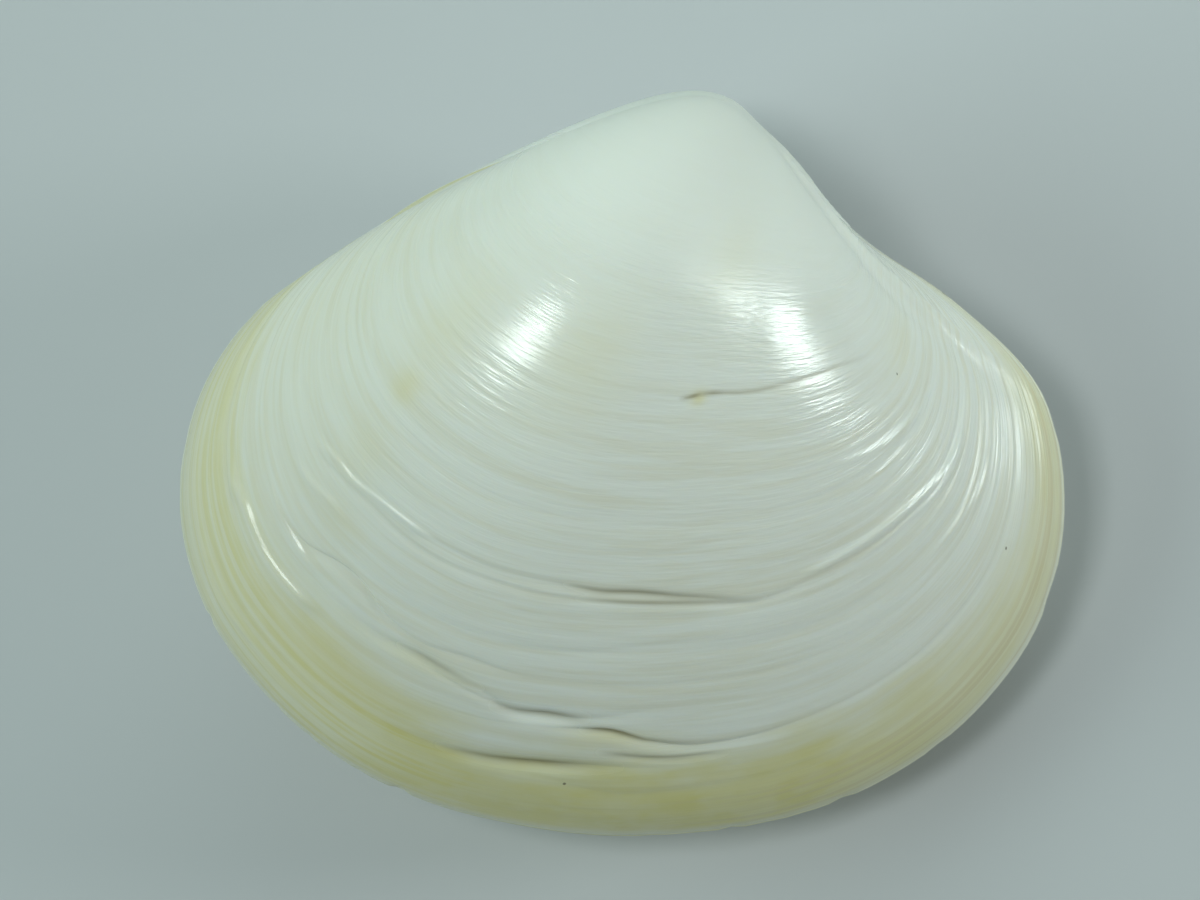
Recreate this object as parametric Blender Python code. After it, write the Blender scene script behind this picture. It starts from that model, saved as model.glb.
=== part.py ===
"""A pitar clam shell: both valves of one animal, closed on each other and lying on the left valve.

Each valve is grown the way the animal grows it. The margin is one closed outline in the plane where
the valves meet. Every older growth line is that outline, smaller and turned up about a line through
the beak, so the valve is a flat spiral horn with the margin as its mouth. Growth breaks run round
both valves. Low on the hind side of the right valve they are bent and deepened by healed injuries.

Shell frame, millimetres: the beak is at 0, 0, 0, X runs to the front end of the animal, Y up to the
hinge side, and Z out of the right valve. A direction round the shell is an angle about the margin's
centre, from X towards Y. A share is the size of the young shell, with the full shell as 1.
"""

import math

import bmesh
import bpy
from mathutils import Matrix, Vector

# The margin, read off the photo in pixels, then put in millimetres from the beak at 17.7 pixels each.
MARGIN_MM = [
    (3.6, -1.6),  # 788, 186 the lunule, in front of the beak
    (8.1, -4.9),  # 869, 244
    (13.2, -8.3),  # 959, 305
    (18.0, -13.3),  # 1042, 393
    (19.4, -20.0),  # 1065, 510 the front end
    (18.0, -26.7),  # 1037, 625
    (14.1, -32.2),  # 968, 718
    (9.0, -36.0),  # 878, 782
    (3.5, -38.2),  # 782, 818
    (-1.9, -39.1),  # 690, 833
    (-7.0, -39.3),  # 601, 835 the lowest point of the belly
    (-12.0, -38.7),  # 515, 825
    (-17.1, -37.4),  # 428, 802
    (-22.0, -35.0),  # 344, 760
    (-26.4, -31.2),  # 267, 696
    (-29.9, -26.1),  # 206, 609
    (-31.3, -20.0),  # 179, 504 the hind end
    (-30.1, -13.8),  # 199, 398
    (-26.6, -8.7),  # 258, 308
    (-21.6, -5.4),  # 345, 251
    (-17.2, -2.3),  # 422, 197 hidden from here on by the swell of the valve
    (-12.3, -0.1),
    (-7.0, 1.4),
    (-1.5, 0.4),
]
MARGIN_CENTRE = (-7.0, -20.0)
BEAK_DIRECTION = 71.0  # of the beak, from the margin's centre

TURN_LINE_DEG = 21.6  # how far the line of turning dips towards the front
SPIRAL = 1.02  # natural logarithm of growth for one radian of turning
LATE_TURN_DEG = 5.0  # the old animal turned its edge in by this much more
LATE_SHARE = 0.05  # over this last share of its growth
YOUNGEST = 0.06  # the smallest growth line, as a share of the full shell
YOUNG_FRONT = -0.235  # how the outline of a young shell differed: shorter in front,
YOUNG_HINGE = 0.12  # fuller on the hinge side
YOUNG_LONG = 0.125  # and longer than high

HALF_GAP_MM = 0.15  # each valve stops this far from the plane where they meet
WALL_MM = 1.9  # width of the rim, measured in the plane of a growth line
HINGE_WALL_MM = 4.0  # and behind and in front of the beak, where the hinge plate is
INNER_ROWS = (1.0, 0.94, 0.83, 0.68, 0.50, 0.34)  # growth lines that the inside is built on

# Growth breaks, as share and drop in millimetres. The list that follows is the right valve's own
# course where injuries bent it: direction, share and drop, first and last on the undisturbed course.
EDGE_OF_BAND = (
    0.914,
    0.16,
    ((220, 0.914, 0.05), (246, 0.909, 0.05), (256, 0.906, 0.14), (272, 0.922, 0.20), (300, 0.914, 0.20)),
)
BAND_CREASE = (
    0.890,
    0.10,
    ((205, 0.890, 0.10), (233, 0.889, 0.26), (251, 0.885, 0.48), (268, 0.877, 0.22), (283, 0.890, 0.0)),
)
BELLY_BREAK = (
    0.850,
    0.16,
    (
        (210, 0.828, 0.08),
        (244, 0.842, 0.05),
        (258, 0.837, 0.16),
        (262, 0.831, 0.55),
        (266, 0.834, 0.62),
        (271, 0.843, 0.52),
        (282, 0.851, 0.34),
        (308, 0.850, 0.16),
    ),
)
LONG_CRACK = (
    0.805,
    0.05,
    (
        (190, 0.805, 0.05),
        (208, 0.792, 0.15),
        (220, 0.791, 0.38),
        (227, 0.788, 0.36),
        (238, 0.800, 0.16),
        (247, 0.818, 0.40),
        (254, 0.818, 0.48),
        (263, 0.817, 0.12),
        (278, 0.805, 0.05),
    ),
)
WAVY_LEDGE = (
    0.776,
    0.06,
    (
        (180, 0.776, 0.06),
        (192, 0.776, 0.22),
        (200, 0.771, 0.34),
        (207, 0.754, 0.38),
        (212, 0.753, 0.32),
        (218, 0.766, 0.20),
        (226, 0.773, 0.34),
        (235, 0.769, 0.34),
        (244, 0.776, 0.06),
    ),
)
HIGH_BREAK = (0.739, 0.10, ())
MAIN_GROOVE = (
    0.677,
    0.30,
    ((150, 0.710, 0.10), (176, 0.689, 0.20), (192, 0.674, 0.32), (246, 0.671, 0.34), (290, 0.677, 0.30)),
)
QUIET_GROOVE = (0.677, 0.12, ())  # the same one on the crown of the left valve
RIGHT_BREAKS = (
    EDGE_OF_BAND, BAND_CREASE, BELLY_BREAK, LONG_CRACK, WAVY_LEDGE, HIGH_BREAK, MAIN_GROOVE,
)
LEFT_BREAKS = (EDGE_OF_BAND, BELLY_BREAK, HIGH_BREAK, QUIET_GROOVE)
SHOULDER_MM = 0.8  # the older shell bends down to a break over this distance
LIP_MM = 0.35  # and the newer shell comes up from it over this one
LIP_RISE = 0.4  # to stand this share of the drop proud
HINGE_DIRECTION = 85.0  # the breaks run together and fade within this angle of the hinge
HINGE_SMOOTH_DEG = 45.0
HINGE_FADE_DEG = 40.0
RIM_FADE = 0.03  # and over this last share before the rim

# Rows of the mesh: growth lines at these shares, with three more at each growth break.
PLAIN_ROWS = (
    1.0, 0.975, 0.945, 0.71, 0.645, 0.615, 0.575, 0.53, 0.475, 0.42, 0.365, 0.312, 0.264, 0.220,
    0.182, 0.150, 0.123, 0.101, 0.083, YOUNGEST,
)
BREAK_ROWS = (0.009, 0.0, -0.012)
CLOSEST_ROWS = 0.004

# Columns: from this direction to this one, in this many steps.
HINGE_COLUMNS = ((50, 76, 3), (76, 80, 2), (80, 100, 3), (100, 104, 2), (104, 185, 8))
RIGHT_COLUMNS = ((-90, -20, 11), (-20, 50, 8), *HINGE_COLUMNS, (185, 270, 27))
LEFT_COLUMNS = ((-90, -20, 10), (-20, 50, 8), *HINGE_COLUMNS, (185, 270, 12))

# The ligament, in a slot between the hinge plates behind the beak.
SLOT_FROM_DEG = 76.0
SLOT_TO_DEG = 104.0
SLOT_BLEND_DEG = 4.0
SLOT_MM = 0.9  # how far the edge of each valve draws back from the other at the slot
LIGAMENT_FROM_DEG = 79.5
LIGAMENT_TO_DEG = 100.0
LIGAMENT_HALF_WIDTH_MM = 0.48
LIGAMENT_HALF_HEIGHT_MM = 0.7
LIGAMENT_DEPTH_MM = 0.9  # of its middle, below the edges of the valves
LIGAMENT_ENDS = 0.5  # thickness at its ends, as a share of the middle's
LIGAMENT_STEPS = 14
LIGAMENT_SIDES = 10

# The pose in which the closed pair lies, from the shell frame. It sets the crown of the left valve
# 0.12 mm below the surface that it lies on, and a flat is worn there.
BELLY_DOWN_DEG = 13.3
FRONT_DOWN_DEG = 10.0
BEAK_AT_MM = (8.19, 15.45, 15.99)  # from the middle of that flat

SHELL_RGB = (0.80, 0.80, 0.74)
LIGAMENT_RGB = (0.16, 0.09, 0.04)


def clear_scene():
    for thing in list(bpy.data.objects):
        bpy.data.objects.remove(thing)


def smooth_step(x):
    x = min(max(x, 0.0), 1.0)
    return x * x * (3 - 2 * x)


def spline_point(points, place):
    """A point on the smooth closed curve through the points; place counts points from the first."""
    count = len(points)
    i = math.floor(place)
    t = place - i
    a, b, c, d = (Vector(points[(i + k) % count]) for k in (-1, 0, 1, 2))
    return 0.5 * (2 * b + (c - a) * t + (2 * a - 5 * b + 4 * c - d) * t * t + (3 * b - a - 3 * c + d) * t**3)


def bearing(point):
    away = Vector(point) - Vector(MARGIN_CENTRE)
    return math.degrees(math.atan2(away.y, away.x))


def margin_at(direction):
    """The point of the margin that lies in this direction from the margin's centre."""
    count = len(MARGIN_MM)
    bearings = [bearing(point) for point in MARGIN_MM]
    for i in range(count):
        span = (bearings[i] - bearings[(i + 1) % count]) % 360
        if (bearings[i] - direction) % 360 < span:
            low, high = float(i), i + 1.0
    for _ in range(30):
        middle = (low + high) / 2
        ahead = (bearing(spline_point(MARGIN_MM, middle)) - direction + 180) % 360 - 180
        if ahead > 0:
            low = middle
        else:
            high = middle
    return spline_point(MARGIN_MM, low)


def young_swell(direction, share):
    a = math.radians(direction)
    swell = YOUNG_FRONT * math.cos(a) + YOUNG_HINGE * math.sin(a) + YOUNG_LONG * math.cos(2 * a)
    return 1 + (1 - share) * swell


def turn_line():
    dip = math.radians(TURN_LINE_DEG)
    return Vector((math.cos(dip), -math.sin(dip), 0.0))


def turned_up(point, share):
    """A point of the full margin's plane, carried to the growth line of this share."""
    late = math.radians(LATE_TURN_DEG) * (1 - math.exp((share - 1) / LATE_SHARE))
    turn = Matrix.Rotation(math.log(share) / SPIRAL - late, 3, turn_line())
    return turn @ Vector((point.x, point.y, 0.0)) * share


def slot_depth(direction):
    """How far the valve's edge is drawn back for the ligament."""
    into = min(direction - SLOT_FROM_DEG, SLOT_TO_DEG - direction)
    return SLOT_MM * smooth_step(into / SLOT_BLEND_DEG)


def growth_point(direction, share):
    """Where the shell's edge lay in this direction when the shell was this share of its size."""
    centre = Vector(MARGIN_CENTRE)
    swell = young_swell(direction, share) / young_swell(BEAK_DIRECTION, share)
    point = turned_up(centre + (margin_at(direction) - centre) * swell, share)
    point.z = max(point.z, slot_depth(direction)) + HALF_GAP_MM
    return point


def inside_point(direction, share):
    """The wall's width in from that edge, towards the middle of the same growth line."""
    outside = growth_point(direction, share)
    middle = turned_up(Vector(MARGIN_CENTRE), share) + Vector((0.0, 0.0, HALF_GAP_MM))
    towards_beak = max(0.0, math.cos(math.radians(direction - BEAK_DIRECTION)))
    wall = WALL_MM + (HINGE_WALL_MM - WALL_MM) * towards_beak**3
    inward = middle - outside
    inside = outside + inward.normalized() * min(wall, inward.length * 0.5)
    inside.z = max(inside.z - slot_depth(direction), HALF_GAP_MM)
    return inside


def breaks_at(direction, growth_breaks, scarred):
    """Share and drop of each growth break in this direction."""
    found = []
    for share, drop, course in growth_breaks:
        for (d0, s0, h0), (d1, s1, h1) in zip(course, course[1:]) if scarred else ():
            if d0 <= direction % 360 <= d1:
                t = (direction % 360 - d0) / (d1 - d0)
                share = s0 + (s1 - s0) * t
                drop = h0 + (h1 - h0) * t
        found.append((share, drop))
    return found


def row_shares(breaks):
    """The share of each row of the mesh in one direction, from the youngest."""
    shares = list(PLAIN_ROWS)
    for share, _ in breaks:
        shares += [share + step for step in BREAK_ROWS]
    shares.sort()
    for i in range(len(shares) - 2, 0, -1):
        shares[i] = min(shares[i], shares[i + 1] - CLOSEST_ROWS)
    return shares


def relief(direction, share, breaks):
    """How far the surface stands above the smooth form, in millimetres."""
    margin = margin_at(direction)
    outward = Vector((margin.x, margin.y, 0.0))
    across = outward.cross(turn_line()).length
    mm_per_share = math.hypot(outward.length, across / SPIRAL)
    height = 0.0
    for place, drop in breaks:
        older = (place - share) * mm_per_share
        if older > 0:
            height -= drop * math.exp(-((older / SHOULDER_MM) ** 1.3))
        else:
            height -= drop * math.exp(-((older / LIP_MM) ** 2))
            height += drop * LIP_RISE * math.exp(-(((older + 2 * LIP_MM) / LIP_MM) ** 2))
    from_hinge = abs((direction - HINGE_DIRECTION + 180) % 360 - 180)
    clear_of_hinge = smooth_step((from_hinge - HINGE_SMOOTH_DEG) / HINGE_FADE_DEG)
    return height * clear_of_hinge * smooth_step((1 - share) / RIM_FADE)


def close_ends(mesh):
    """Fills each open end of a rolled sheet with a fan of faces."""
    open_edges = [e for e in mesh.edges if e.is_boundary]
    filled = bmesh.ops.edgeloop_fill(mesh, edges=open_edges)
    bmesh.ops.poke(mesh, faces=filled["faces"])


def rolled_sheet(columns, rows):
    """A new mesh of one sheet of faces, and the column and row of each of its vertices."""
    mesh = bmesh.new()
    made = bmesh.ops.create_grid(mesh, x_segments=columns, y_segments=rows, size=1.0)
    places = {}
    for vertex in made["verts"]:
        column = round((vertex.co.x + 1) / 2 * columns)
        row = round((vertex.co.y + 1) / 2 * rows)
        places[vertex] = (column % columns, row)
    return mesh, places


def column_directions(columns):
    directions = []
    for start, end, steps in columns:
        directions += [start + (end - start) * k / steps for k in range(steps)]
    return directions


def valve(side, columns, growth_breaks, scarred):
    """One valve: its outside from the beak to the rim, then its inside from the rim up into the horn."""
    directions = column_directions(columns)
    breaks = [breaks_at(direction, growth_breaks, scarred) for direction in directions]
    outer = [row_shares(found) for found in breaks]
    outer_rows = len(outer[0])
    mesh, places = rolled_sheet(len(directions), outer_rows + len(INNER_ROWS) - 1)
    for vertex, (column, row) in places.items():
        if row < outer_rows:
            vertex.co = growth_point(directions[column], outer[column][row])
        else:
            vertex.co = inside_point(directions[column], INNER_ROWS[row - outer_rows])
    bmesh.ops.remove_doubles(mesh, verts=mesh.verts[:], dist=0.0005)
    close_ends(mesh)
    bmesh.ops.recalc_face_normals(mesh, faces=mesh.faces[:])
    mesh.normal_update()
    for vertex, (column, row) in places.items():
        if vertex.is_valid and 0 < row < outer_rows - 1:
            vertex.co += vertex.normal * relief(directions[column], outer[column][row], breaks[column])
    for vertex in mesh.verts:
        vertex.co.z *= side
    return mesh


def ligament():
    """A horny band sunk in the slot behind the beak, tapered to both ends."""
    mesh, places = rolled_sheet(LIGAMENT_SIDES, LIGAMENT_STEPS)
    for vertex, (side, step) in places.items():
        along = step / LIGAMENT_STEPS
        direction = LIGAMENT_FROM_DEG + (LIGAMENT_TO_DEG - LIGAMENT_FROM_DEG) * along
        margin = margin_at(direction)
        outward = (margin - Vector(MARGIN_CENTRE)).normalized()
        thick = LIGAMENT_ENDS + (1 - LIGAMENT_ENDS) * math.sin(math.pi * along) ** 0.6
        round_angle = math.tau * side / LIGAMENT_SIDES
        height = LIGAMENT_HALF_HEIGHT_MM * thick * math.sin(round_angle)
        place = margin + outward * (height - LIGAMENT_DEPTH_MM)
        vertex.co = (place.x, place.y, LIGAMENT_HALF_WIDTH_MM * thick * math.cos(round_angle))
    bmesh.ops.remove_doubles(mesh, verts=mesh.verts[:], dist=0.0005)
    close_ends(mesh)
    return mesh


def as_object(name, mesh, placing, rgb, roughness):
    """Makes the mesh an object in metres, in the pose in which it lies."""
    bmesh.ops.transform(mesh, matrix=placing, verts=mesh.verts[:])
    bmesh.ops.triangulate(mesh, faces=mesh.faces[:])
    bmesh.ops.recalc_face_normals(mesh, faces=mesh.faces[:])
    data = bpy.data.meshes.new(name)
    mesh.to_mesh(data)
    mesh.free()
    data.shade_smooth()
    material = bpy.data.materials.new(name)
    material.use_nodes = True
    shader = material.node_tree.nodes["Principled BSDF"]
    shader.inputs["Base Color"].default_value = (*rgb, 1.0)
    shader.inputs["Roughness"].default_value = roughness
    data.materials.append(material)
    made = bpy.data.objects.new(name, data)
    bpy.context.scene.collection.objects.link(made)


def lying_pose():
    """From the shell frame to the world, with the middle of the flat at the origin."""
    belly_down = Matrix.Rotation(math.radians(BELLY_DOWN_DEG), 4, "X")
    front_down = Matrix.Rotation(math.radians(FRONT_DOWN_DEG), 4, "Y")
    return Matrix.Scale(0.001, 4) @ Matrix.Translation(BEAK_AT_MM) @ front_down @ belly_down


def wear_flat(mesh, placing):
    """Cuts the valve off at the level of the surface that it lies on."""
    to_shell = placing.inverted()
    level = to_shell @ Vector((0.0, 0.0, 0.0))
    down = (to_shell.to_3x3() @ Vector((0.0, 0.0, -1.0))).normalized()
    everything = mesh.verts[:] + mesh.edges[:] + mesh.faces[:]
    cut = bmesh.ops.bisect_plane(mesh, geom=everything, plane_co=level, plane_no=down, clear_outer=True)
    rim = [thing for thing in cut["geom_cut"] if isinstance(thing, bmesh.types.BMEdge)]
    bmesh.ops.edgeloop_fill(mesh, edges=rim)


clear_scene()
right_valve = valve(1, RIGHT_COLUMNS, RIGHT_BREAKS, True)
left_valve = valve(-1, LEFT_COLUMNS, LEFT_BREAKS, False)
lying = lying_pose()
wear_flat(left_valve, lying)
as_object("right_valve", right_valve, lying, SHELL_RGB, 0.3)
as_object("left_valve", left_valve, lying, SHELL_RGB, 0.3)
as_object("ligament", ligament(), lying, LIGAMENT_RGB, 0.5)
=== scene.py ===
"""The looks of a closed pitar clam shell, seen from above on a pale surface.

The two valves are modelled again, far finer than their solids, by the same rule of growth. Lengths
are in millimetres in the shell frame: the beak of the shell is at 0, 0, 0, X runs to the front end,
Y up to the hinge side and Z out of the right valve. A direction round the shell is an angle about
the margin's centre, from X towards Y, and a share is the size of the young shell, with 1 for now.
"""

import math

import bmesh
import bpy
from mathutils import Matrix, Vector, noise


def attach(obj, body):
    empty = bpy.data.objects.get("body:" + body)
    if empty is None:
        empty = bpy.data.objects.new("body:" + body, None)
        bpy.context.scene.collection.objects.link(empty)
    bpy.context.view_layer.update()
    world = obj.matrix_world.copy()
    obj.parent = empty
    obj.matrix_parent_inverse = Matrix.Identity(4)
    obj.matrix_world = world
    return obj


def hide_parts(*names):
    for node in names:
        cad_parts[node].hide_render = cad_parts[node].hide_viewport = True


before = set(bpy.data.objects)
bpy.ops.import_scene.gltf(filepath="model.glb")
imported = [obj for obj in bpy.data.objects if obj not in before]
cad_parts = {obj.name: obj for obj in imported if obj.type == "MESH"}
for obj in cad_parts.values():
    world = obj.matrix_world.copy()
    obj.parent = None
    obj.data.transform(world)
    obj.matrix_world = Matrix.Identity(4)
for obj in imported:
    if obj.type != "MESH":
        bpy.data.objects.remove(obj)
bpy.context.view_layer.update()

# Right valve. Half of the house of a venus clam: hard, white, faintly see-through aragonite, glossy
# as porcelain. The animal lays it down at the edge, line by line, so each older growth line is the
# margin, smaller and turned up about a line through the beak. Where it stopped, a groove stayed.
MARGIN_MM = [
    (3.6, -1.6),  # 788, 186 in the photo: the lunule, in front of the beak
    (8.1, -4.9),  # 869, 244
    (13.2, -8.3),  # 959, 305
    (18.0, -13.3),  # 1042, 393
    (19.4, -20.0),  # 1065, 510 the front end
    (18.0, -26.7),  # 1037, 625
    (14.1, -32.2),  # 968, 718
    (9.0, -36.0),  # 878, 782
    (3.5, -38.2),  # 782, 818
    (-1.9, -39.1),  # 690, 833
    (-7.0, -39.3),  # 601, 835 the lowest point of the belly
    (-12.0, -38.7),  # 515, 825
    (-17.1, -37.4),  # 428, 802
    (-22.0, -35.0),  # 344, 760
    (-26.4, -31.2),  # 267, 696
    (-29.9, -26.1),  # 206, 609
    (-31.3, -20.0),  # 179, 504 the hind end
    (-30.1, -13.8),  # 199, 398
    (-26.6, -8.7),  # 258, 308
    (-21.6, -5.4),  # 345, 251
    (-17.2, -2.3),  # 422, 197 hidden from here on by the swell of the valve
    (-12.3, -0.1),
    (-7.0, 1.4),
    (-1.5, 0.4),
]
MARGIN_CENTRE = Vector((-7.0, -20.0))
BEAK_DIRECTION = 71.0
TURN_LINE_DEG = 21.6  # how far the line of turning dips towards the front
SPIRAL = 1.02  # natural logarithm of growth for one radian of turning
LATE_TURN_DEG = 5.0  # the old animal turned its edge in by this much more
LATE_SHARE = 0.05  # over this last share of its growth
YOUNGEST = 0.04  # the smallest growth line that is drawn
YOUNG_FRONT = -0.235  # a young shell was shorter in front,
YOUNG_HINGE = 0.12  # fuller on the hinge side
YOUNG_LONG = 0.125  # and longer than high
HALF_GAP_MM = 0.15  # the solids stop this far from the plane where the valves meet
RIM_GAP_MM = 0.03  # and the rims, which are closed, this far
RIM_ROUND_MM = 0.22  # radius of the rim's outer edge
RIM_ROWS = 3
NICK_MM = 0.35  # small chips in the rim
NICK_SPACING_MM = 1.3
NICKS_FROM = 0.25  # noise above this is a chip
NICKED_SHARE = 0.985  # chips reach in to here
NICK_SIDES_APART = 4.0  # the two rims are chipped in different places
QUIET_SIDE = 0.6  # the breaks of the left valve drop this much, against the right valve's
WALL_MM = 1.9
HINGE_WALL_MM = 4.0
HINGE_WALL_POWER = 3  # how soon the wall thickens towards the beak
INNER_SHARES = (0.985, 0.94, 0.83, 0.68, 0.50, 0.34)
SLOT_FROM_DEG = 76.0  # the ligament's slot, between the hinge plates behind the beak
SLOT_TO_DEG = 104.0
SLOT_BLEND_DEG = 4.0
SLOT_MM = 0.9  # half its width
MERGE_MM = 0.0002  # points closer than this are one

# Growth breaks: share, drop, how far the older shell bends down to its edge and how far the newer shell
# needs to come up to the old height again, in millimetres. Then the right valve's own course, where
# injuries bent the edge, as direction, share and drop, from one undisturbed end to the other.
STAINED_LINE = (
    0.461, 0.0, 0.12, 0.35,
    (
        (250, 0.461, 0.0), (263, 0.466, 0.01), (269, 0.464, 0.03), (275, 0.461, 0.02),
        (287, 0.461, 0.02), (305, 0.454, 0.02), (324, 0.450, 0.02), (342, 0.461, 0.0),
    ),
)
YOUNG_BREAK = (0.592, 0.015, 0.25, 0.5, ())
MAIN_GROOVE = (
    0.677, 0.05, 0.22, 0.45,
    (
        (150, 0.695, 0.0), (176, 0.687, 0.01), (195, 0.671, 0.04), (205, 0.665, 0.05),
        (218, 0.6625, 0.05), (232, 0.664, 0.05), (246, 0.665, 0.08), (256, 0.670, 0.14),
        (266, 0.670, 0.15), (282, 0.679, 0.12), (297, 0.690, 0.08), (315, 0.677, 0.05),
    ),
)
HIGH_BREAK = (0.739, 0.03, 0.45, 0.8, ())
WAVY_LEDGE = (
    0.776, 0.02, 0.16, 0.45,
    (
        (180, 0.776, 0.0), (192, 0.776, 0.02), (200, 0.771, 0.13), (207, 0.754, 0.19),
        (212, 0.753, 0.21), (218, 0.766, 0.16), (226, 0.773, 0.06), (235, 0.769, 0.07),
        (248, 0.776, 0.02),
    ),
)
LONG_CRACK = (
    0.805, 0.02, 0.34, 0.50,
    (
        (188, 0.805, 0.0), (208, 0.792, 0.04), (220, 0.791, 0.12), (227, 0.788, 0.18),
        (232, 0.793, 0.09), (238, 0.800, 0.04), (247, 0.821, 0.26), (254, 0.822, 0.38),
        (261, 0.821, 0.12), (278, 0.805, 0.02),
    ),
)
BELLY_BREAK = (
    0.850, 0.05, 0.20, 0.40,
    (
        (196, 0.850, 0.02), (225, 0.842, 0.02), (244, 0.838, 0.02), (256, 0.836, 0.05),
        (265, 0.835, 0.24), (269, 0.838, 0.28), (274, 0.848, 0.24), (285, 0.860, 0.16),
        (312, 0.850, 0.05),
    ),
)
BAND_CREASE = (
    0.890, 0.02, 0.60, 0.50,
    (
        (205, 0.890, 0.02), (233, 0.894, 0.08), (246, 0.894, 0.34), (256, 0.890, 0.42),
        (268, 0.883, 0.16), (286, 0.890, 0.02),
    ),
)
EDGE_OF_BAND = (
    0.914, 0.04, 0.50, 0.80,
    ((220, 0.914, 0.03), (246, 0.909, 0.04), (256, 0.906, 0.06), (272, 0.922, 0.08), (300, 0.914, 0.04)),
)
GROWTH_BREAKS = (
    STAINED_LINE,
    YOUNG_BREAK,
    MAIN_GROOVE,
    HIGH_BREAK,
    WAVY_LEDGE,
    LONG_CRACK,
    BELLY_BREAK,
    BAND_CREASE,
    EDGE_OF_BAND,
)
SHOULDER_POWER = 1.3  # roundness of the older shell's bend down to its edge
HINGE_DIRECTION = 85.0
HINGE_SMOOTH_DEG = 45.0  # there is no relief within this angle of the hinge
HINGE_FADE_DEG = 40.0  # and it rises over this one
RIM_FADE = 0.03  # it sinks again over this last share, towards the rim
LINE_ENDS_DEG = 6.0  # a single line fades in and out over this angle

# Single lines of the right valve, as direction and share at each point, then height and the half widths
# of the older and the newer side: grooves lie below the surface, threads stand on it.
LINES = (
    # The lower one of the twin grooves.
    (
        (
            (190, 0.692), (199, 0.680), (204, 0.675), (209, 0.676), (218, 0.678), (232, 0.677),
            (246, 0.679), (256, 0.681), (268, 0.682), (282, 0.686), (298, 0.693),
        ),
        -0.07, 0.12, 0.25,
    ),
    # Soft lines below it.
    (((236, 0.702), (254, 0.701), (274, 0.699), (300, 0.700), (322, 0.699)), -0.025, 0.20, 0.40),
    (((238, 0.742), (254, 0.741), (270, 0.731), (284, 0.730)), -0.03, 0.25, 0.50),
    # The fork and the lower ledge of the belly's injury.
    (((226, 0.795), (236, 0.806), (244, 0.818), (252, 0.830)), -0.04, 0.12, 0.20),
    (((266, 0.864), (272, 0.869), (281, 0.874), (292, 0.873)), -0.12, 0.18, 0.30),
    # Threads at the hind end.
    (((180, 0.836), (185, 0.832), (189, 0.822), (197, 0.825), (204, 0.821), (210, 0.818)), 0.26, 0.20, 0.80),
    (((188, 0.772), (193, 0.775), (201, 0.780), (206, 0.783)), 0.12, 0.14, 0.40),
    (((188, 0.722), (194, 0.716), (199, 0.708), (205, 0.710)), 0.10, 0.12, 0.40),
    (((190, 0.682), (196, 0.671), (200, 0.670), (205, 0.665), (211, 0.6625), (220, 0.6625)), 0.11, 0.15, 0.3),
    (((184, 0.938), (190, 0.940), (194, 0.945), (200, 0.937), (206, 0.934)), 0.05, 0.10, 0.40),
    # Threads at the front end.
    (((306, 0.672), (326, 0.666), (333, 0.668), (338, 0.673), (345, 0.683), (356, 0.692)), 0.13, 0.18, 0.40),
    (((318, 0.683), (333, 0.682), (345, 0.693), (352, 0.700)), 0.05, 0.10, 0.20),
    (((316, 0.560), (325, 0.565), (338, 0.575), (350, 0.588)), 0.04, 0.14, 0.30),
    (((334, 0.745), (343, 0.754), (350, 0.768), (358, 0.788)), 0.045, 0.14, 0.30),
)

# Ridges of ordinary growth: spacing across the growth lines, length along them and height.
COARSE_RIDGES = (1.0, 15.0, 0.018)
FINE_RIDGES = (0.36, 9.0, 0.011)
FRONT_RIDGES = 0.2  # they stand this much higher at the front end
FRONT_FROM_MM = -5.0
FRONT_OVER_MM = 20.0
RIDGES_FROM_SHARE = 0.30  # the beak is worn smooth up to here
RIDGES_FULL_SHARE = 0.60

# The rounded edge of the lunule, in front of the beak: share and direction at each point.
LUNULE_EDGE = (
    (0.10, -50), (0.13, -38), (0.174, -20), (0.235, -4), (0.32, 4), (0.46, 9), (0.60, 12),
    (0.80, 14), (1.0, 16),
)
LUNULE_EDGE_MM = (0.22, 0.36)  # height and half width
LUNULE_HOLLOW_MM = (0.16, 0.80, 1.3)  # depth, half width and distance of the hollow inside it
LUNULE_START = 0.1  # the edge rises over this share of growth at the beak
LUNULE_FADE = 0.35  # and sinks over this share towards the margin

# Dirt and painted shade in the deepest lines: the first is brown dirt in the stained line, the others are
# some dirt and wide painted shade in the grooves, the creases and the notch. Half width in millimetres,
# then direction, share and strength at each point.
DIRT_AND_SHADE_LINES = (
    (
        0.13,
        (
            (261, 0.467, 0.0), (264, 0.466, 0.6), (267, 0.464, 0.9), (270, 0.462, 0.4),
            (274, 0.461, 0.8), (279, 0.461, 0.5), (288, 0.461, 0.45), (305, 0.454, 0.35),
            (324, 0.450, 0.3), (338, 0.459, 0.0),
        ),
    ),
    # These are some dirt and wide painted shade, darkening the grooves, the creases and the notch.
    (0.20, ((246, 0.664, 0.0), (256, 0.669, 0.5), (266, 0.669, 0.7), (275, 0.674, 0.5), (300, 0.688, 0.0))),
    (0.17, ((250, 0.679, 0.0), (262, 0.680, 0.5), (277, 0.683, 0.5), (298, 0.692, 0.0))),
    (0.22, ((261, 0.835, 0.0), (265, 0.834, 0.8), (269, 0.837, 1.0), (275, 0.848, 0.5), (294, 0.858, 0.0))),
    (0.35, ((236, 0.892, 0.0), (248, 0.892, 0.6), (256, 0.888, 0.8), (263, 0.885, 0.4), (272, 0.882, 0.0))),
    (0.25, ((222, 0.789, 0.0), (229, 0.789, 0.4), (235, 0.795, 0.25), (241, 0.802, 0.0))),
    (0.32, ((242, 0.818, 0.0), (248, 0.820, 0.45), (256, 0.820, 0.65), (263, 0.820, 0.0))),
    (0.25, ((265, 0.862, 0.0), (272, 0.867, 0.4), (281, 0.873, 0.4), (292, 0.873, 0.0))),
)
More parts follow.
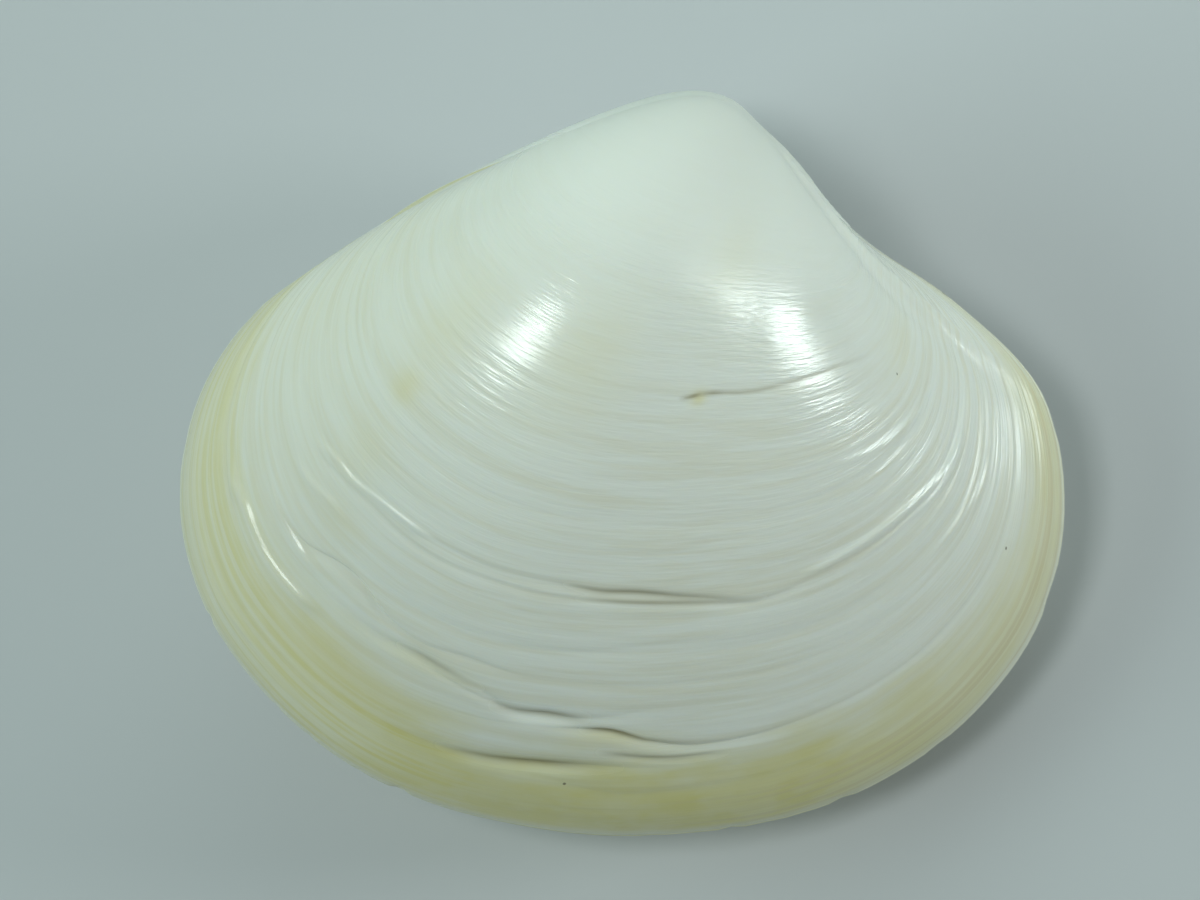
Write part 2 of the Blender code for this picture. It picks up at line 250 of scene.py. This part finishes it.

# Yellow stains, and a painted glow of light in the notch's lower lip: direction, share, reach in degrees,
# reach in share, strength.
STAINS_AND_GLOW = (
    (197, 0.559, 3, 0.018, 0.5),
    (199, 0.640, 5, 0.030, 0.25),
    (203, 0.714, 4, 0.022, 0.2),
    (196, 0.480, 7, 0.060, 0.25),
    (229, 0.442, 12, 0.060, 0.25),
    (269, 0.466, 3, 0.008, 0.8),
    (215, 0.860, 16, 0.045, 0.5),
    # Painted light: the yellow glow in the notch's thin lower lip.
    (268, 0.842, 9, 0.010, 0.7),
    (228, 0.796, 10, 0.012, 0.4),
    (271, 0.325, 16, 0.05, 0.2),
    (351, 0.494, 8, 0.04, 0.2),
    (160, 0.650, 35, 0.30, 0.22),
)

# Specks of dark dirt on the right valve: direction and share.
SPECKS = ((343.8, 0.515), (347.8, 0.866), (261.2, 0.911))
SPECK_RADIUS_MM = 0.1

# Rows of the mesh are growth lines: how many from each break to the next, and how far they gather
# towards the breaks. Columns run from the beak to the rim: from, to and how many. They are close
# together in the right valve's scars.
ROWS_BETWEEN_BREAKS = (96, 46, 38, 36, 22, 18, 26, 24, 16, 40)
GATHERED = 0.55
GROWTH_MM = 54.0  # length of the whole growth at the belly
HINGE_COLUMNS = ((50, 76, 12), (76, 80, 4), (80, 100, 10), (100, 104, 4))
RIGHT_COLUMNS = ((-90, 50, 64), *HINGE_COLUMNS, (104, 185, 36), (185, 270, 118))
LEFT_COLUMNS = ((-90, 50, 74), *HINGE_COLUMNS, (104, 185, 40), (185, 270, 54))

# The pose in which the pair lies, from the shell frame.
BELLY_DOWN_DEG = 13.3
FRONT_DOWN_DEG = 10.0
BEAK_AT_MM = (8.19, 15.45, 15.99)
lying = (
    Matrix.Scale(0.001, 4)
    @ Matrix.Translation(BEAK_AT_MM)
    @ Matrix.Rotation(math.radians(FRONT_DOWN_DEG), 4, "Y")
    @ Matrix.Rotation(math.radians(BELLY_DOWN_DEG), 4, "X")
)


def smooth_step(x):
    x = min(max(x, 0.0), 1.0)
    return x * x * (3 - 2 * x)


def spline_point(points, place):
    """A point on the smooth closed curve through the points; place counts points from the first."""
    i = math.floor(place)
    t = place - i
    a, b, c, d = (Vector(points[(i + k) % len(points)]) for k in (-1, 0, 1, 2))
    return 0.5 * (2 * b + (c - a) * t + (2 * a - 5 * b + 4 * c - d) * t * t + (3 * b - a - 3 * c + d) * t**3)


def bearing(point):
    away = Vector(point) - MARGIN_CENTRE
    return math.degrees(math.atan2(away.y, away.x))


def margin_at(direction):
    """The point of the margin that lies in this direction from the margin's centre."""
    bearings = [bearing(point) for point in MARGIN_MM]
    for i in range(len(bearings)):
        span = (bearings[i] - bearings[(i + 1) % len(bearings)]) % 360
        if (bearings[i] - direction) % 360 < span:
            low, high = float(i), i + 1.0
    for _ in range(30):
        middle = (low + high) / 2
        ahead = (bearing(spline_point(MARGIN_MM, middle)) - direction + 180) % 360 - 180
        if ahead > 0:
            low = middle
        else:
            high = middle
    return spline_point(MARGIN_MM, low)


turn_axis = Vector((math.cos(math.radians(TURN_LINE_DEG)), -math.sin(math.radians(TURN_LINE_DEG)), 0.0))


def turned_up(point, share):
    """A point of the full margin's plane, carried to the growth line of this share."""
    late = math.radians(LATE_TURN_DEG) * (1 - math.exp((share - 1) / LATE_SHARE))
    turn = Matrix.Rotation(math.log(share) / SPIRAL - late, 3, turn_axis)
    return turn @ Vector((point.x, point.y, 0.0)) * share


def young_swell(direction, share):
    a = math.radians(direction)
    swell = YOUNG_FRONT * math.cos(a) + YOUNG_HINGE * math.sin(a) + YOUNG_LONG * math.cos(2 * a)
    return 1 + (1 - share) * swell


def slot_depth(direction):
    into = min(direction - SLOT_FROM_DEG, SLOT_TO_DEG - direction)
    return SLOT_MM * smooth_step(into / SLOT_BLEND_DEG)


def growth_point(direction, margin, share):
    """Where the shell's edge lay in this direction when the shell was this share of its size."""
    swell = young_swell(direction, share) / young_swell(BEAK_DIRECTION, share)
    point = turned_up(MARGIN_CENTRE + (margin - MARGIN_CENTRE) * swell, share)
    point.z = max(point.z + HALF_GAP_MM, slot_depth(direction) + RIM_GAP_MM + RIM_ROUND_MM)
    return point


def inside_point(direction, margin, share):
    """The wall's width in from that edge, towards the middle of the same growth line."""
    outside = growth_point(direction, margin, share)
    middle = turned_up(MARGIN_CENTRE, share) + Vector((0.0, 0.0, HALF_GAP_MM))
    towards_beak = max(0.0, math.cos(math.radians(direction - BEAK_DIRECTION)))
    wall = WALL_MM + (HINGE_WALL_MM - WALL_MM) * towards_beak**HINGE_WALL_POWER
    inward = middle - outside
    inside = outside + inward.normalized() * min(wall, inward.length / 2)
    inside.z = max(inside.z - slot_depth(direction), RIM_GAP_MM)
    return inside


def along_course(course, place):
    """The other values of a course where its first value is this, on a smooth curve through its points."""
    for i in range(len(course) - 1):
        if course[i][0] <= place <= course[i + 1][0]:
            t = (place - course[i][0]) / (course[i + 1][0] - course[i][0])
            points = [course[min(max(k, 0), len(course) - 1)] for k in (i - 1, i, i + 1, i + 2)]
            return tuple(spline_point(points, 1 + t))[1:]
    return None


def break_at(direction, growth_break, scarred):
    """Share, drop and the two widths of a growth break in this direction."""
    share, drop, shoulder, lip, course = growth_break
    found = along_course(course, direction % 360) if scarred else None
    if found is not None:
        share, drop = found
    elif not scarred:
        drop = drop * QUIET_SIDE
    return share, max(drop, 0.0), shoulder, lip


def row_shares(breaks):
    """The growth lines of one column, youngest first, gathered towards each break."""
    shares = []
    knots = [YOUNGEST] + [found[0] for found in breaks] + [1.0]
    for k, count in enumerate(ROWS_BETWEEN_BREAKS):
        for i in range(count):
            t = i / count
            gathered = (1 - GATHERED) * t + GATHERED * smooth_step(t)
            shares.append(knots[k] + (knots[k + 1] - knots[k]) * gathered)
    return shares + [1.0]


def ridge_height(margin, share):
    """Ordinary growth ridges: long, low and uneven."""
    height = 0.0
    for spacing, length, rise in (COARSE_RIDGES, FINE_RIDGES):
        place = Vector((margin.x / length, margin.y / length, share * GROWTH_MM / spacing))
        height += noise.noise(place) * rise
    height *= 1 + FRONT_RIDGES * smooth_step((margin.x - FRONT_FROM_MM) / FRONT_OVER_MM)
    risen = (share - RIDGES_FROM_SHARE) / (RIDGES_FULL_SHARE - RIDGES_FROM_SHARE)
    return height * smooth_step(risen)


def bell(x, half_width):
    return math.exp(-((x / half_width) ** 2))


def relief(direction, margin, share, breaks, scarred):
    """How far the surface stands above the smooth form, in millimetres, and how much dirt and painted shade
    lies on it.
    """
    across = Vector((margin.x, margin.y, 0.0)).cross(turn_axis).length
    mm_per_share = math.hypot(margin.length, across / SPIRAL)
    height = ridge_height(margin, share)
    for place, drop, shoulder, lip in breaks:
        older = (place - share) * mm_per_share
        if older > 0:
            height -= drop * math.exp(-((older / shoulder) ** SHOULDER_POWER))
        else:
            height -= drop * bell(older, lip)
    dirt_and_shade = 0.0
    if scarred:
        for course, rise, older_width, newer_width in LINES:
            found = along_course(course, direction % 360)
            if found is not None:
                from_ends = min(direction % 360 - course[0][0], course[-1][0] - direction % 360)
                older = (found[0] - share) * mm_per_share
                width = older_width if older > 0 else newer_width
                height += rise * smooth_step(from_ends / LINE_ENDS_DEG) * bell(older, width)
        # Dirt in the stained line, painted shade in the other deep lines.
        for half_width, course in DIRT_AND_SHADE_LINES:
            found = along_course(course, direction % 360)
            if found is not None:
                dirt_and_shade += max(found[1], 0.0) * bell((found[0] - share) * mm_per_share, half_width)
    from_hinge = abs((direction - HINGE_DIRECTION + 180) % 360 - 180)
    clear_of_hinge = smooth_step((from_hinge - HINGE_SMOOTH_DEG) / HINGE_FADE_DEG)
    height *= clear_of_hinge * smooth_step((1 - share) / RIM_FADE)
    edge = along_course(LUNULE_EDGE, share)
    if edge is not None:
        beside = ((direction - edge[0] + 180) % 360 - 180) * math.radians(1) * share * margin.length
        rise, half_width = LUNULE_EDGE_MM
        hollow, hollow_width, inside = LUNULE_HOLLOW_MM
        rounded = rise * bell(beside, half_width) - hollow * bell(beside + inside, hollow_width)
        from_start = smooth_step((share - LUNULE_EDGE[0][0]) / LUNULE_START)
        height += rounded * from_start * smooth_step((1 - share) / LUNULE_FADE)
    return height, min(dirt_and_shade, 1.0)


def stain_and_glow(direction, share):
    """How yellow the shell is stained here, with the painted glow in the notch's lower lip."""
    amount = 0.0
    for at, line, reach, reach_share, strength in STAINS_AND_GLOW:
        aside = ((direction - at + 180) % 360 - 180) / reach
        amount += strength * math.exp(-(aside**2) - ((share - line) / reach_share) ** 2)
    return min(amount, 1.0)


def grown_valve(side, columns, scarred):
    """A fine mesh of one valve: outside from the beak to the rim, round it, then in under the hinge."""
    directions = []
    for start, end, steps in columns:
        directions += [start + (end - start) * k / steps for k in range(steps)]
    directions.append(directions[0] + 360)
    margins = [margin_at(direction) for direction in directions]
    breaks = [[break_at(direction, b, scarred) for b in GROWTH_BREAKS] for direction in directions]
    shares = [row_shares(found) for found in breaks]
    outer_rows = len(shares[0])
    rows = outer_rows + RIM_ROWS + len(INNER_SHARES)

    mesh = bmesh.new()
    growth = mesh.verts.layers.float_vector.new("growth_mm")
    marks = mesh.verts.layers.float_vector.new("marks")
    made = bmesh.ops.create_grid(mesh, x_segments=len(directions) - 1, y_segments=rows - 1, size=1.0)
    places = {}
    for vertex in made["verts"]:
        column = round((vertex.co.x + 1) / 2 * (len(directions) - 1))
        row = round((vertex.co.y + 1) / 2 * (rows - 1))
        places[vertex] = (column, row)
        direction, margin = directions[column], margins[column]
        inward = Vector((*(MARGIN_CENTRE - margin).normalized(), 0.0))
        if row < outer_rows:
            share = shares[column][row]
            vertex.co = growth_point(direction, margin, share)
        elif row < outer_rows + RIM_ROWS:
            rim_turn = math.radians(90 * (row - outer_rows + 1) / RIM_ROWS)
            share = 1.0
            vertex.co = growth_point(direction, margin, share)
            vertex.co += inward * RIM_ROUND_MM * (1 - math.cos(rim_turn))
            vertex.co.z -= RIM_ROUND_MM * math.sin(rim_turn)
        else:
            share = INNER_SHARES[row - outer_rows - RIM_ROWS]
            vertex.co = inside_point(direction, margin, share)
        if row < outer_rows + RIM_ROWS:
            at_rim = (margin.x / NICK_SPACING_MM, margin.y / NICK_SPACING_MM, side * NICK_SIDES_APART)
            nick = max(noise.noise(Vector(at_rim)) - NICKS_FROM, 0.0) * NICK_MM
            vertex.co += inward * nick * smooth_step((share - NICKED_SHARE) / (1 - NICKED_SHARE))
        vertex[growth] = (margin.x, margin.y, share * GROWTH_MM)
    bmesh.ops.remove_doubles(mesh, verts=mesh.verts[:], dist=MERGE_MM)
    open_edges = [e for e in mesh.edges if e.is_boundary]
    filled = bmesh.ops.edgeloop_fill(mesh, edges=open_edges)
    bmesh.ops.poke(mesh, faces=filled["faces"])
    bmesh.ops.recalc_face_normals(mesh, faces=mesh.faces[:])
    mesh.normal_update()
    heights = {}
    for vertex, (column, row) in places.items():
        if vertex.is_valid and 0 < row < outer_rows - 1:
            direction, share = directions[column], shares[column][row]
            height, dirt_and_shade = relief(direction, margins[column], share, breaks[column], scarred)
            heights[vertex] = vertex.normal * height
            vertex[marks] = (dirt_and_shade, stain_and_glow(direction, share) if scarred else 0.0, float(scarred))
    for vertex, lift in heights.items():
        vertex.co += lift
    for vertex in mesh.verts:
        vertex.co.z *= side
    bmesh.ops.transform(mesh, matrix=lying, verts=mesh.verts[:])
    bmesh.ops.recalc_face_normals(mesh, faces=mesh.faces[:])
    return mesh


def as_piece(name, mesh, material, node):
    """Makes the mesh a smooth piece that stands for a node."""
    data = bpy.data.meshes.new(name)
    mesh.to_mesh(data)
    mesh.free()
    data.shade_smooth()
    data.materials.append(material)
    piece = bpy.data.objects.new(name, data)
    bpy.context.scene.collection.objects.link(piece)
    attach(piece, "root")
    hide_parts(node)


def linear(hex_colour):
    """An sRGB hex colour as the linear numbers that a shader takes."""
    channels = [int(hex_colour[k : k + 2], 16) / 255 for k in (1, 3, 5)]
    return (*[c / 12.92 if c <= 0.04045 else ((c + 0.055) / 1.055) ** 2.4 for c in channels], 1.0)


def add_node(material, kind, links=None, **settings):
    """Adds a shader node. Settings are its properties, or its inputs by name or by number."""
    node = material.node_tree.nodes.new(kind)
    for name, value in settings.items():
        if name.startswith("in_"):
            node.inputs[int(name[3:])].default_value = value
        elif hasattr(node, name):
            setattr(node, name, value)
        else:
            node.inputs[name.replace("_", " ")].default_value = value
    for name, source in (links or {}).items():
        material.node_tree.links.new(source, node.inputs[name])
    return node


def aragonite_shell(name):
    """Naturally glossy aragonite, laid down in lines: the lines draw its porcelain gloss into streaks.

    Its patterns read the growth in millimetres: the margin's X and Y, and the growth so far as Z.
    """
    material = bpy.data.materials.new(name)
    material.use_nodes = True
    shader = material.node_tree.nodes["Principled BSDF"]
    growth = add_node(material, "ShaderNodeAttribute", attribute_name="growth_mm").outputs["Vector"]
    marks = add_node(material, "ShaderNodeAttribute", attribute_name="marks").outputs["Vector"]
    to_front, to_hinge, grown = add_node(material, "ShaderNodeSeparateXYZ", {"Vector": growth}).outputs
    dirt_and_shade, yellow, is_right = add_node(material, "ShaderNodeSeparateXYZ", {"Vector": marks}).outputs

    def growth_lines(spacing, length, detail, roughness):
        """Noise in lines along the growth: their spacing and length in millimetres."""
        scale = (1 / length, 1 / length, 1 / spacing)
        drawn_out = add_node(material, "ShaderNodeMapping", {"Vector": growth}, Scale=scale)
        pattern = add_node(
            material,
            "ShaderNodeTexNoise",
            {"Vector": drawn_out.outputs["Vector"]},
            Scale=1.0,
            Detail=detail,
            Roughness=roughness,
        )
        return pattern.outputs[0]

    def faded(value, *fades):
        """The value times its fades: what each follows, from where to where, and the factors there."""
        for followed, start, end, at_start, at_end in fades:
            fade = add_node(
                material,
                "ShaderNodeMapRange",
                {"Value": followed},
                interpolation_type="SMOOTHSTEP",
                From_Min=start,
                From_Max=end,
                To_Min=at_start,
                To_Max=at_end,
            ).outputs["Result"]
            if value is None:
                value = fade
            else:
                both = {0: value, 1: fade}
                value = add_node(material, "ShaderNodeMath", both, operation="MULTIPLY").outputs[0]
        return value

    # White all over, and a little warmer in some growth lines.
    warm = faded(None, (growth_lines(0.8, 16.0, 3.0, 0.6), 0.4, 0.7, 0.0, 1.0), (grown, 14.0, 34.0, 0.1, 1.0))
    white = {"in_6": linear("#EFEDE5"), "in_7": linear("#EAE5D6")}
    tint = add_node(material, "ShaderNodeMix", {0: warm}, data_type="RGBA", **white).outputs[2]

    # Yellow in the last lines, from a wandering line on. It begins earlier at the hind end, where it
    # breaks up into streaks, and is weaker at both ends, by the hinge, by the lunule and at the rim.
    wander = {0: growth_lines(1.6, 6.0, 2.0, 0.5), 2: grown}
    reached = add_node(material, "ShaderNodeMath", wander, operation="MULTIPLY_ADD", in_1=5.0).outputs[0]
    earlier = {0: reached, 1: faded(None, (to_front, -31.0, -14.0, 3.4, 0.0))}
    reached = add_node(material, "ShaderNodeMath", earlier, operation="ADD").outputs[0]
    by_lunule = faded(None, (to_hinge, -17.0, -8.0, 0.0, 1.0), (to_front, -2.0, 3.0, 0.0, 1.0))
    band = faded(
        None,
        (reached, 47.4, 53.4, 0.0, 1.0),
        (to_front, -31.0, -18.0, 0.65, 1.0),
        (to_front, 4.0, 18.0, 1.0, 0.5),
        (to_hinge, -12.0, -4.0, 1.0, 0.85),
        (by_lunule, 0.0, 1.0, 1.0, 0.4),
        (grown, 52.9, 53.9, 1.0, 0.5),
        (growth_lines(2.2, 5.0, 3.0, 0.6), 0.35, 0.6, 0.8, 1.0),
    )
    streaks = {
        0: faded(None, (to_front, -26.0, -12.0, 0.6, 1.0)),
        1: faded(
            None,
            (growth_lines(0.5, 30.0, 2.0, 0.6), 0.4, 0.6, 0.0, 0.45),
            (to_front, -26.0, -12.0, 1.0, 0.0),
        ),
    }
    streaked = {0: band, 1: add_node(material, "ShaderNodeMath", streaks, operation="ADD").outputs[0]}
    band = add_node(material, "ShaderNodeMath", streaked, operation="MULTIPLY").outputs[0]
    last_rings = faded(
        None,
        (growth_lines(0.45, 40.0, 1.0, 0.5), 0.5, 0.6, 0.0, 1.0),
        (grown, 49.0, 51.5, 0.0, 1.0),
        (to_front, -10.0, 10.0, 0.0, 1.0),
    )

    # These lie over the white in turn: what each follows, its strength and its colour.
    layers = [
        (faded(None, (grown, 4.0, 18.0, 1.0, 0.0)), 1.0, "#E4E2DA"),  # a little greyer towards the beak: painted shade that dims it
        (band, 1.0, "#E0D48C"),  # the yellow of the last lines
        (last_rings, 0.45, "#D8C79E"),  # thin brownish rings at the front
        (yellow, 0.8, "#E6D9A0"),  # stains, and the painted glow under the notch
        (dirt_and_shade, 0.8, "#8B7A4C"),  # dirt, and painted shade, in the deepest lines
    ]
    for direction, share in SPECKS:
        at = (*margin_at(direction), share * GROWTH_MM)
        away = add_node(material, "ShaderNodeVectorMath", {0: growth}, operation="DISTANCE", in_1=at)
        edge = (away.outputs["Value"], SPECK_RADIUS_MM * 0.6, SPECK_RADIUS_MM * 1.4, 1.0, 0.0)
        layers.append((faded(is_right, edge), 0.75, "#5A4A2E"))
    for amount, strength, colour in layers:
        cover = add_node(material, "ShaderNodeMath", {0: amount}, operation="MULTIPLY", in_1=strength)
        under = {0: cover.outputs[0], 6: tint}
        tint = add_node(material, "ShaderNodeMix", under, data_type="RGBA", in_7=linear(colour)).outputs[2]
    material.node_tree.links.new(tint, shader.inputs["Base Color"])

    # Dull on the worn beak, glossy from there on, a little less so when old, and dull in the lines of dirt
    # and painted shade.
    gloss = {
        0: faded(None, (grown, 16.5, 20.5, 0.50, 0.20)),
        1: faded(None, (grown, 24.0, 38.0, 0.0, 0.07)),
    }
    dulled = {0: dirt_and_shade, 2: add_node(material, "ShaderNodeMath", gloss, operation="ADD").outputs[0]}
    roughness = add_node(material, "ShaderNodeMath", dulled, operation="MULTIPLY_ADD", in_1=0.3)
    material.node_tree.links.new(roughness.outputs[0], shader.inputs["Roughness"])
    shader.inputs["IOR"].default_value = 1.6
    shader.inputs["Subsurface Weight"].default_value = 0.15
    shader.inputs["Subsurface Radius"].default_value = (1.0, 0.8, 0.5)
    shader.inputs["Subsurface Scale"].default_value = 0.0012

    # Growth lines 0.4 and 0.2 mm apart, one or two hundredths of a millimetre high.
    wide_lines = {0: growth_lines(0.36, 10.0, 3.0, 0.6)}
    wide = add_node(material, "ShaderNodeMath", wide_lines, operation="MULTIPLY", in_1=0.030).outputs[0]
    narrow_lines = {0: growth_lines(0.17, 2.5, 1.0, 0.5), 2: wide}
    fine = add_node(material, "ShaderNodeMath", narrow_lines, operation="MULTIPLY_ADD", in_1=0.010).outputs[0]
    raised = faded(fine, (grown, 10.0, 20.0, 0.3, 1.2), (grown, 30.0, 42.0, 1.0, 0.65))
    bump = add_node(material, "ShaderNodeBump", {"Height": raised}, Distance=0.001)
    material.node_tree.links.new(bump.outputs["Normal"], shader.inputs["Normal"])
    return material


aragonite = aragonite_shell("glossy_aragonite")
right_mesh = grown_valve(1, RIGHT_COLUMNS, True)
as_piece("right_valve_shell", right_mesh, aragonite, "right_valve")

# Left valve. The other half, a mirror image of the first. It never had the first one's injuries. The
# pair lies on it, and its crown is cut to a small worn flat.
left_mesh = grown_valve(-1, LEFT_COLUMNS, False)
everything = left_mesh.verts[:] + left_mesh.edges[:] + left_mesh.faces[:]
cut = bmesh.ops.bisect_plane(
    left_mesh, geom=everything, plane_co=(0.0, 0.0, 0.0), plane_no=(0.0, 0.0, -1.0), clear_outer=True
)
flat_edges = [thing for thing in cut["geom_cut"] if isinstance(thing, bmesh.types.BMEdge)]
bmesh.ops.edgeloop_fill(left_mesh, edges=flat_edges)
as_piece("left_valve_shell", left_mesh, aragonite, "left_valve")

# Ligament. A dry, dark brown band of horn behind the beaks, sunk between the two hinge plates. It
# springs the valves open, and is laid down in lengthwise fibres.
LIGAMENT_FROM_DEG = 79.5
LIGAMENT_TO_DEG = 100.0
LIGAMENT_HALF_WIDTH_MM = 0.48
LIGAMENT_HALF_HEIGHT_MM = 0.7
LIGAMENT_DEPTH_MM = 0.9
LIGAMENT_ENDS = 0.5  # it tapers to this part of its thickness,
LIGAMENT_BLUNT = 0.6  # near its ends only
LIGAMENT_STEPS = 90
LIGAMENT_SIDES = 48
FIBRE_MM = 0.14
FIBRE_RISE_MM = 0.05
FIBRE_LEVEL = 0.5
FIBRE_ROUND_MM = 0.5  # radius of the pattern of fibres
FIBRE_DRAWN = 0.9  # its length against that radius

ligament_mesh = bmesh.new()
bmesh.ops.create_grid(ligament_mesh, x_segments=LIGAMENT_SIDES, y_segments=LIGAMENT_STEPS, size=1.0)
for vertex in ligament_mesh.verts:
    side_turn = math.pi * (vertex.co.x + 1)
    along = (vertex.co.y + 1) / 2
    margin = margin_at(LIGAMENT_FROM_DEG + (LIGAMENT_TO_DEG - LIGAMENT_FROM_DEG) * along)
    outward = (margin - MARGIN_CENTRE).normalized()
    thick = LIGAMENT_ENDS + (1 - LIGAMENT_ENDS) * math.sin(math.pi * along) ** LIGAMENT_BLUNT
    around = Vector((math.cos(side_turn), math.sin(side_turn), along * FIBRE_DRAWN))
    fibre = noise.noise(around * FIBRE_ROUND_MM / FIBRE_MM) - FIBRE_LEVEL
    fibre = 1 + fibre * FIBRE_RISE_MM / LIGAMENT_HALF_WIDTH_MM
    height = LIGAMENT_HALF_HEIGHT_MM * thick * math.sin(side_turn) * fibre
    place = margin + outward * (height - LIGAMENT_DEPTH_MM)
    vertex.co = (place.x, place.y, LIGAMENT_HALF_WIDTH_MM * thick * math.cos(side_turn) * fibre)
bmesh.ops.remove_doubles(ligament_mesh, verts=ligament_mesh.verts[:], dist=MERGE_MM)
ends = [e for e in ligament_mesh.edges if e.is_boundary]
bmesh.ops.poke(ligament_mesh, faces=bmesh.ops.edgeloop_fill(ligament_mesh, edges=ends)["faces"])
bmesh.ops.transform(ligament_mesh, matrix=lying, verts=ligament_mesh.verts[:])
bmesh.ops.recalc_face_normals(ligament_mesh, faces=ligament_mesh.faces[:])

horn = bpy.data.materials.new("dried_horny_ligament")
horn.use_nodes = True
horn_shader = horn.node_tree.nodes["Principled BSDF"]

# Fibres a quarter of a millimetre apart, in a lighter and a darker brown.
horn_place = add_node(horn, "ShaderNodeTexCoord").outputs["Object"]
horn_grain = add_node(horn, "ShaderNodeMapping", {"Vector": horn_place}, Scale=(900.0, 4000.0, 4000.0))
grain = add_node(horn, "ShaderNodeTexNoise", {"Vector": horn_grain.outputs["Vector"]}, Scale=1.0, Detail=3.0)
horn_tint = add_node(horn, "ShaderNodeMix", {0: grain.outputs[0]}, data_type="RGBA")
horn_tint.inputs[6].default_value = linear("#3A2413")
horn_tint.inputs[7].default_value = linear("#6B4A28")
horn.node_tree.links.new(horn_tint.outputs[2], horn_shader.inputs["Base Color"])
horn_shader.inputs["Roughness"].default_value = 0.5
horn_bump = add_node(horn, "ShaderNodeBump", {"Height": grain.outputs[0]}, Distance=0.00002)
horn.node_tree.links.new(horn_bump.outputs["Normal"], horn_shader.inputs["Normal"])
as_piece("ligament_band", ligament_mesh, horn, "ligament")

# The surface that the shell lies on.
floor_mesh = bmesh.new()
bmesh.ops.create_grid(floor_mesh, x_segments=1, y_segments=1, size=0.6)
floor_data = bpy.data.meshes.new("floor")
floor_mesh.to_mesh(floor_data)
floor_mesh.free()
floor = bpy.data.objects.new("floor", floor_data)
bpy.context.scene.collection.objects.link(floor)
floor_paper = bpy.data.materials.new("pale_paper")
floor_paper.use_nodes = True
floor_paper.node_tree.nodes["Principled BSDF"].inputs["Base Color"].default_value = linear("#C8C7CA")
floor_paper.node_tree.nodes["Principled BSDF"].inputs["Roughness"].default_value = 0.9
floor_data.materials.append(floor_paper)

# Camera, straight over the right valve, a little from the hinge side.
PHOTO_WIDTH = 1200
PHOTO_HEIGHT = 900
BEAK_PIXEL = (725.6, 157.1)
PIXELS_PER_MM = 17.72
CAMERA_MM = 190.0
VIEW_RIGHT_DEG = 2.4
VIEW_UP_DEG = 8.0
SENSOR_MM = 36.0

yaw, pitch = math.radians(VIEW_RIGHT_DEG), math.radians(VIEW_UP_DEG)
back = Vector((math.sin(yaw) * math.cos(pitch), math.sin(pitch), math.cos(yaw) * math.cos(pitch)))
across = Vector((0.0, 1.0, 0.0)).cross(back).normalized()
upward = back.cross(across)
aside = (PHOTO_WIDTH / 2 - BEAK_PIXEL[0]) / PIXELS_PER_MM
below = (BEAK_PIXEL[1] - PHOTO_HEIGHT / 2) / PIXELS_PER_MM
camera_place = across * aside + upward * below + back * CAMERA_MM
turn = lying.to_3x3().normalized()
camera_data = bpy.data.cameras.new("camera")
camera_data.sensor_width = SENSOR_MM
camera_data.lens = SENSOR_MM * CAMERA_MM * PIXELS_PER_MM / PHOTO_WIDTH
camera_data.clip_start = 0.01
camera = bpy.data.objects.new("camera", camera_data)
bpy.context.scene.collection.objects.link(camera)
basis = Matrix((across, upward, back)).transposed()
camera.matrix_world = Matrix.Translation(lying @ camera_place) @ (turn @ basis).to_4x4()
bpy.context.scene.camera = camera

# Light: two lamps that make the two highlights, a broad low panel on the left, a weak one over the
# hinge side, and the pale room. It is all a little green, as in the photo.
AIM = Vector((0.0, 0.0, 0.018))
LAMP_LIGHT = "#F2FFFC"
ROOM_LIGHT = "#E2FFF9"
ROOM_STRENGTH = 0.165


def lamp(name, right, up, towards, distance, size, power, light):
    """A square soft lamp, placed by its bearing from the shell in the camera's axes. Metres and watts.

    Only the two lamps are mirrored in the shell: the panels stand for light that comes from all over.
    """
    bearing_out = (turn @ (across * right + upward * up + back * towards)).normalized()
    data = bpy.data.lights.new(name, "AREA")
    data.size = size
    data.energy = power
    data.color = linear(light)[:3]
    thing = bpy.data.objects.new(name, data)
    thing.location = AIM + bearing_out * distance
    thing.rotation_mode = "QUATERNION"
    thing.rotation_quaternion = bearing_out.to_track_quat("Z", "Y")
    thing.visible_glossy = light == LAMP_LIGHT
    bpy.context.scene.collection.objects.link(thing)


lamp("left_lamp", -0.30, 0.09, 0.95, 0.32, 0.07, 0.26, LAMP_LIGHT)
lamp("right_lamp", 0.84, 0.16, 0.52, 0.32, 0.07, 0.28, LAMP_LIGHT)
lamp("left_panel", -0.86, 0.06, 0.44, 0.45, 0.32, 0.74, ROOM_LIGHT)
lamp("top_panel", 0.12, 0.92, 0.36, 0.17, 0.12, 0.085, ROOM_LIGHT)
room = bpy.data.worlds.new("pale_room")
room.use_nodes = True
room.node_tree.nodes["Background"].inputs["Color"].default_value = linear(ROOM_LIGHT)
room.node_tree.nodes["Background"].inputs["Strength"].default_value = ROOM_STRENGTH
bpy.context.scene.world = room
bpy.context.scene.view_settings.view_transform = "Standard"
